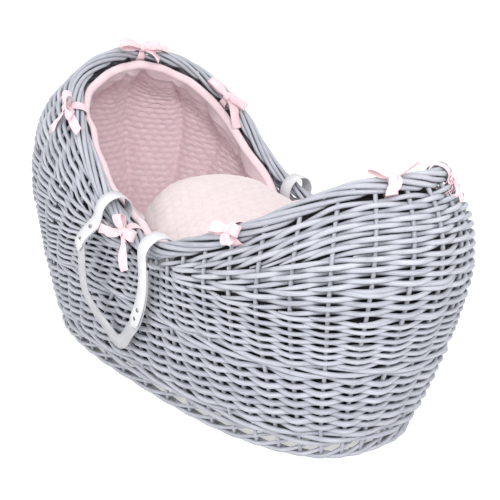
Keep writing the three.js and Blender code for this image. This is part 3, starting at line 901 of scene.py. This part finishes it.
set_coordinates(coverlet, points + facing * swell[:, None])
coverlet.data.polygons.foreach_set("use_smooth", np.ones(len(coverlet.data.polygons), bool))
# Painted shade in the hollows along the coverlet's quilted seams, on its upward faces.
mark_painted_shade(coverlet, (1 - np.clip(quilted * 1.5, 0, 1)) * 0.5 * on_top)
coverlet.data.materials.append(COVERLET)
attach(coverlet, "basket")
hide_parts("coverlet")

# ---- handles ----------------------------------------------------------------------------------

STRAP_WIDTH = 0.022
STRAP_THICK = 0.0022
LOOP_RADIUS = 0.0225
BAND_LEVEL = LOOP_RADIUS + 0.0012
TONGUE_LEVEL = BAND_LEVEL + 0.0025
TONGUE_LIFT = 0.0020
# How long the tongue is at each end, and how far back from its tip the eyelets are.
TONGUES = (0.066, 0.128)
EYELETS_AT = (0.020, 0.038)
EYELET_SIDES = 20
# Shares of half the distance between the loops, and metres down.
STRAP_ROUTE = np.array([
    [-1, 0], [-1.26, 0.034], [-1.33, 0.072], [-1.3, 0.110], [-1.12, 0.146], [-0.76, 0.172],
    [-0.42, 0.178], [-0.09, 0.166], [0.24, 0.139], [0.58, 0.112], [0.85, 0.078], [1, 0.042], [1, 0],
])


def handle_frame(first, second):
    """The line through the two loops: its middle, x along it, y down, z outwards."""
    start, end = rim_point(math.radians(first)), rim_point(math.radians(second))
    footward = np.sign(start[1])
    along = unit((end - start) * footward)
    out = unit(np.array([-along[1], along[0], 0]))
    down = np.cross(out, along)
    slope = -along[2] * footward / math.hypot(along[0], along[1])
    return (start + end) / 2, along, down, out, np.linalg.norm(end - start) / 2, footward, slope


def catmull(points, per_span):
    """A smooth line through points, with the given number of steps in each span."""
    padded = np.vstack([2 * points[0] - points[1], points, 2 * points[-1] - points[-2]])
    line = []
    for i in range(1, len(padded) - 2):
        p0, p1, p2, p3 = padded[i - 1:i + 3]
        for w in np.arange(per_span) / per_span:
            a, b = 0.5 * (p2 - p0), 0.5 * (p3 - p1)
            square, cube = 3 * (p2 - p1) - 2 * a - b, 2 * (p1 - p2) + a + b
            line.append(p1 + a * w + square * w**2 + cube * w**3)
    line.append(points[-1])
    return np.array(line)


def strap(side, first, second, bulge):
    middle, along, down, out, half, footward, slope = handle_frame(first, second)

    def turned(local):
        return local[:, :1] * along + local[:, 1:2] * down + local[:, 2:] * out

    x = (STRAP_ROUTE[:, 0] * half + slope * STRAP_ROUTE[:, 1]) * footward
    flat = catmull(np.column_stack([x, STRAP_ROUTE[:, 1]]), 16)
    steps = np.linalg.norm(np.diff(flat, axis=0), axis=1)
    arc = np.concatenate([[0], np.cumsum(steps)])
    length = arc[-1]

    def on_route(distance):
        """The strap's place, direction and bulge at distances along it from the hood end."""
        place = np.column_stack([np.interp(distance, arc, flat[:, i]) for i in (0, 1)])
        before, after = (
            np.column_stack([np.interp(distance + d, arc, flat[:, i]) for i in (0, 1)])
            for d in (-0.003, 0.003)
        )
        direction = unit(after - before)
        lift = bulge * smooth(distance, 0.014, 0.054) * (1 - smooth(distance, 0.115, 0.215))
        return place, direction, lift

    def band(distance, level, width):
        place, direction, lift = on_route(distance)
        line = np.column_stack([place, level + lift])
        across = np.column_stack([-direction[:, 1], direction[:, 0], np.zeros(len(line))])
        tangent = unit(np.gradient(line, axis=0))
        face = np.cross(tangent, across)
        return line, across, face * np.sign(face[:, 2:]), width

    def loop_band(x):
        turn = np.radians(np.linspace(4, 318, 34))
        radius = TONGUE_LEVEL - (TONGUE_LEVEL - BAND_LEVEL) * smooth(turn, 0, 3)
        ring = np.column_stack([np.full(len(turn), x), -radius * np.sin(turn), radius * np.cos(turn)])
        face = np.column_stack([np.zeros(len(turn)), -np.sin(turn), np.cos(turn)])
        return ring, np.tile([1.0, 0, 0], (len(turn), 1)), face, np.full(len(turn), STRAP_WIDTH)

    build = Build()
    main = np.linspace(0.022, length - 0.022, 120)
    pieces = [band(main, BAND_LEVEL, np.full(len(main), STRAP_WIDTH))]
    for tongue, x, sign in ((TONGUES[0], flat[0, 0], 1), (TONGUES[1], flat[-1, 0], -1)):
        back = np.linspace(tongue, 0.003, 44)
        point_width = STRAP_WIDTH * np.clip((tongue - back) / (STRAP_WIDTH / 2), 0.1, 1)
        distance = back if sign > 0 else length - back
        level = TONGUE_LEVEL + TONGUE_LIFT * smooth(back, 0.3 * tongue, tongue)
        line, across, face, width = band(distance, level, point_width)
        ring, ring_across, ring_face, ring_width = loop_band(x)
        across = across * np.sign(across[:, :1])
        pieces.append((
            np.vstack([line, ring]), np.vstack([across, ring_across]), np.vstack([face, ring_face]),
            np.concatenate([width, ring_width]),
        ))
    for line, across, face, width in pieces:
        build.strip(middle + turned(line), turned(across), turned(face), width, STRAP_THICK)
    piece = build.make(f"strap_{side}", STRAP, "strap", f"handle_{side}")
    # The band takes the greyer material, painted shade; the tongues and loops stay white.
    piece.data.materials.append(STRAP_BAND_SHADE)
    marks = np.zeros(len(piece.data.polygons), np.int32)
    marks[:len(build.quads[0])] = 1
    piece.data.polygons.foreach_set("material_index", marks)
    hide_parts(f"handle_strap_{side}")

    # A rolled eyelet, as [radius, height over the strap's back] in millimetres, round a dark hole.
    profile = np.array([
        [2.9, -0.6], [3.6, -0.6], [3.9, -0.4], [3.9, -0.2], [3.2, -0.2], [3.2, 6.4], [3.6, 6.4],
        [3.7, 6.6], [3.5, 6.9], [3.2, 7.0], [3.0, 6.9], [2.9, 6.5],
    ]) / 1000
    turn = np.linspace(0, TAU, EYELET_SIDES, endpoint=False)
    count = 0
    for end, tongue in enumerate(TONGUES):
        for back in EYELETS_AT:
            count += 1
            distance = tongue - back if end == 0 else length - tongue + back
            place, _, lift = on_route(np.array([distance]))
            local = np.stack([
                place[0, 0] + profile[None, :, 0] * np.cos(turn)[:, None],
                place[0, 1] + profile[None, :, 0] * np.sin(turn)[:, None],
                LOOP_RADIUS + lift[0] + np.tile(profile[:, 1], (EYELET_SIDES, 1)),
            ], -1)
            ring = Build()
            points = (middle + turned(local.reshape(-1, 3))).reshape(EYELET_SIDES, -1, 3)
            ring.grid(points, points[..., :2].copy(), close_u=True, close_v=True)
            eyelet = ring.make(f"eyelet_{side}_{count}", METAL, "eyelet", f"handle_{side}")
            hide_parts(f"strap_eyelet_{side}_{count}")
            hole = Build()
            depth = np.column_stack([place[[0, 0]], LOOP_RADIUS + lift[0] + np.array([0.0008, 0.0068])])
            hole.tube(middle + turned(depth), np.tile(along, (2, 1)), 0.00285, sides=16)
            bore = hole.make(f"eyelet_bore_{side}_{count}", DARK, "eyelet", f"handle_{side}")
            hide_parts(f"strap_eyelet_{side}_{count}")


strap("near", HANDLE_LOOPS[0], HANDLE_LOOPS[1], 0.024)
strap("far", -102, -80, 0.005)

# ---- ribbon bows ------------------------------------------------------------------------------

RIBBON_WIDTH = 0.0145
RIBBON_THICK = 0.0008
SEAT = 0.0148


def bow(name, degrees, roll, loops, tails, node):
    """A ribbon tied round the rim, with its knot rolled round the rim from the outside by roll.
    Each loop is (direction, length, height, width), each tail (direction, length, droop), with
    directions in degrees from along the rim, where 90 is up the stake."""
    point, t, out, up = (x[0] for x in rim_frame(np.radians([degrees])))
    if np.dot(np.cross(out, t), [0, 0, 1]) < 0:
        t = -t
    up = np.cross(out, t)
    rolled = math.radians(roll)
    cos, sin = math.cos(rolled), math.sin(rolled)
    out, up = out * cos + up * sin, up * cos - out * sin
    build = Build()
    turn = np.linspace(0, TAU, 41)
    seat = SEAT + 0.0006 * np.sin(3 * turn)
    ring = out * np.cos(turn)[:, None] + up * np.sin(turn)[:, None]
    across = np.tile(t, (len(turn), 1))
    pinch = RIBBON_WIDTH * (0.55 + 0.45 * smooth(np.abs(turn - math.pi) / math.pi, 1.0, 0.6))
    build.strip(point + ring * seat[:, None], across, ring, pinch, RIBBON_THICK)
    knot = point + out * (SEAT + 0.0042)
    turn = np.linspace(0, TAU, 25)
    ring = up * np.cos(turn)[:, None] * 0.0062 + out * np.sin(turn)[:, None] * 0.0042
    face = unit(up * np.cos(turn)[:, None] * 0.0042 + out * np.sin(turn)[:, None] * 0.0062)
    build.strip(knot + ring, np.tile(t, (25, 1)), face, 0.0105, 0.0012)

    def spread(direction):
        a = math.radians(direction)
        ahead = t * math.cos(a) + up * math.sin(a)
        return ahead, np.cross(out, ahead)

    for direction, length, height, width in loops:
        ahead, side = spread(direction)
        q = np.linspace(0, 1, 44)
        a = TAU * q - math.pi
        reach = length * (0.5 + 0.5 * np.cos(a)) ** 0.75
        rise = height * np.sin(a) * (0.5 + 0.5 * np.cos(a)) ** 0.5 + height * 0.9 * (reach / length)
        line = knot + out * 0.001 + ahead * reach[:, None] + out * rise[:, None]
        line = line + np.array([0, 0, -1]) * (0.10 * reach**2 / length)[:, None]
        tangent = unit(np.gradient(line, axis=0))
        twist = side + out * 0.25 * np.sin(a)[:, None]
        across = unit(twist - tangent * np.sum(twist * tangent, 1, keepdims=True))
        face = np.cross(tangent, across)
        open_width = width * (0.45 + 0.55 * smooth(reach / length, 0.0, 0.45))
        build.strip(line, across, face, open_width, RIBBON_THICK)
    for direction, length, droop in tails:
        ahead, side = spread(direction)
        q = np.linspace(0, 1, 30)
        line = knot + ahead * (length * q)[:, None]
        line = line + out * (0.004 * np.sin(math.pi * q) - 0.0035 * q)[:, None]
        line = line + np.array([0, 0, -1]) * (droop * q**2)[:, None]
        line = line + side * (0.003 * np.sin(TAU * q * 0.8))[:, None]
        tangent = unit(np.gradient(line, axis=0))
        twist = side + out * (0.35 * np.sin(TAU * q))[:, None]
        across = unit(twist - tangent * np.sum(twist * tangent, 1, keepdims=True))
        face = np.cross(tangent, across)
        open_width = RIBBON_WIDTH * (0.5 + 0.5 * smooth(q, 0.0, 0.2))
        build.strip(line, across, face, open_width, RIBBON_THICK)
    piece = build.make(name, RIBBON, "ribbon")
    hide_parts(node)
    length = (
        TAU * SEAT + 0.035
        + sum(2.15 * loop[1] for loop in loops)
        + sum(tail[1] + 0.3 * tail[2] for tail in tails)
    )


bow("bow_hood_top", 184, 80, [(-6, 0.044, 0.010, 0.015), (-176, 0.032, 0.007, 0.015)],
    [(-174, 0.052, 0.002), (157, 0.034, 0.004)], "tie_hood_top")
bow("bow_hood_near", 141, -25, [(108, 0.030, 0.008, 0.015), (35, 0.036, 0.006, 0.014)],
    [(-88, 0.066, 0.014), (28, 0.056, 0.010)], "tie_hood_near")
bow("bow_hood_far", -137, 90, [(0, 0.044, 0.008, 0.015), (-161, 0.036, 0.007, 0.014)],
    [(164, 0.046, 0.012)], "tie_hood_far")
bow("bow_side_near", 98, 15, [(125, 0.026, 0.009, 0.015), (22, 0.036, 0.008, 0.015)],
    [(-151, 0.060, 0.000), (-42, 0.054, 0.004)], "tie_side_near")
bow("bow_side_far", -91, -30, [(15, 0.026, 0.008, 0.015), (165, 0.030, 0.008, 0.015)],
    [(-50, 0.046, 0.000), (-125, 0.046, 0.004)], "tie_side_far")
bow("bow_middle_near", 49.5, 5, [(159, 0.024, 0.008, 0.015), (-20, 0.025, 0.008, 0.015)],
    [(-108, 0.017, 0.003), (-60, 0.016, 0.003)], "tie_middle_near")
bow("bow_middle_far", -51, 5, [(20, 0.024, 0.008, 0.015), (200, 0.025, 0.008, 0.015)],
    [(-72, 0.017, 0.003), (-120, 0.016, 0.003)], "tie_middle_far")
bow("bow_foot_near", 11.5, -5, [(147, 0.031, 0.008, 0.009), (33, 0.040, 0.008, 0.009)],
    [(-92, 0.019, 0.000), (-80, 0.014, 0.000)], "tie_foot_near")
bow("bow_foot_far", -9, -50, [(-70, 0.031, 0.009, 0.009), (-125, 0.020, 0.007, 0.009)],
    [(-95, 0.026, 0.000), (-110, 0.022, 0.000)], "tie_foot_far")

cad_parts["base_board"].data.materials.clear()
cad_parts["base_board"].data.materials.append(PLYWOOD)

# ---- floor, light and camera --------------------------------------------------------------------

bpy.ops.mesh.primitive_plane_add(size=40)
floor = bpy.context.object
floor.name = "floor"
floor_material = bpy.data.materials.new("floor")
floor_material.use_nodes = True
tree = floor_material.node_tree
paint = tree.nodes["Principled BSDF"]
paint.inputs["Base Color"].default_value = (0.8, 0.8, 0.8, 1)
paint.inputs["Roughness"].default_value = 1
paint.inputs["Emission Color"].default_value = (1, 1, 1, 1)
paint.inputs["Emission Strength"].default_value = 0.32
floor.data.materials.append(floor_material)
floor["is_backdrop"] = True

world = bpy.data.worlds.new("studio")
bpy.context.scene.world = world
world.use_nodes = True
world.node_tree.nodes["Background"].inputs["Color"].default_value = (1, 1, 1, 1)
world.node_tree.nodes["Background"].inputs["Strength"].default_value = 1.0


def area_light(name, place, target, size, power):
    data = bpy.data.lights.new(name, "AREA")
    data.size = size
    data.energy = power
    light = bpy.data.objects.new(name, data)
    light.location = place
    light.rotation_euler = (Vector(target) - Vector(place)).to_track_quat("-Z", "Y").to_euler()
    bpy.context.scene.collection.objects.link(light)


area_light("key", (1.7, -1.5, 1.9), (0, 0, 0.2), 0.9, 24)
area_light("fill", (-0.9, -2.0, 0.9), (0, 0, 0.2), 1.2, 9)
area_light("top", (0.3, 0.2, 2.4), (0, 0, 0.2), 1.2, 9)
area_light("front", (1.5, -0.7, 1.25), (-0.25, 0, 0.28), 0.5, 13)

AZIMUTH, ELEVATION, DISTANCE, LENS = 52.3, 18.3, 1.6335, 78.3
TARGET = Vector((0.0493, 0, 0.2093)) + Vector(SHIFT)
azimuth, elevation = math.radians(AZIMUTH), math.radians(ELEVATION)
back = Vector((
    math.sin(azimuth) * math.cos(elevation),
    -math.cos(azimuth) * math.cos(elevation),
    math.sin(elevation),
))
camera_data = bpy.data.cameras.new("camera")
camera_data.lens = LENS
camera_data.sensor_width = 36
camera = bpy.data.objects.new("camera", camera_data)
camera.location = TARGET + back * DISTANCE
camera.rotation_euler = (-back).to_track_quat("-Z", "Y").to_euler()
bpy.context.scene.collection.objects.link(camera)
bpy.context.scene.camera = camera
bpy.context.scene.view_settings.view_transform = "Standard"

low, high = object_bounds()
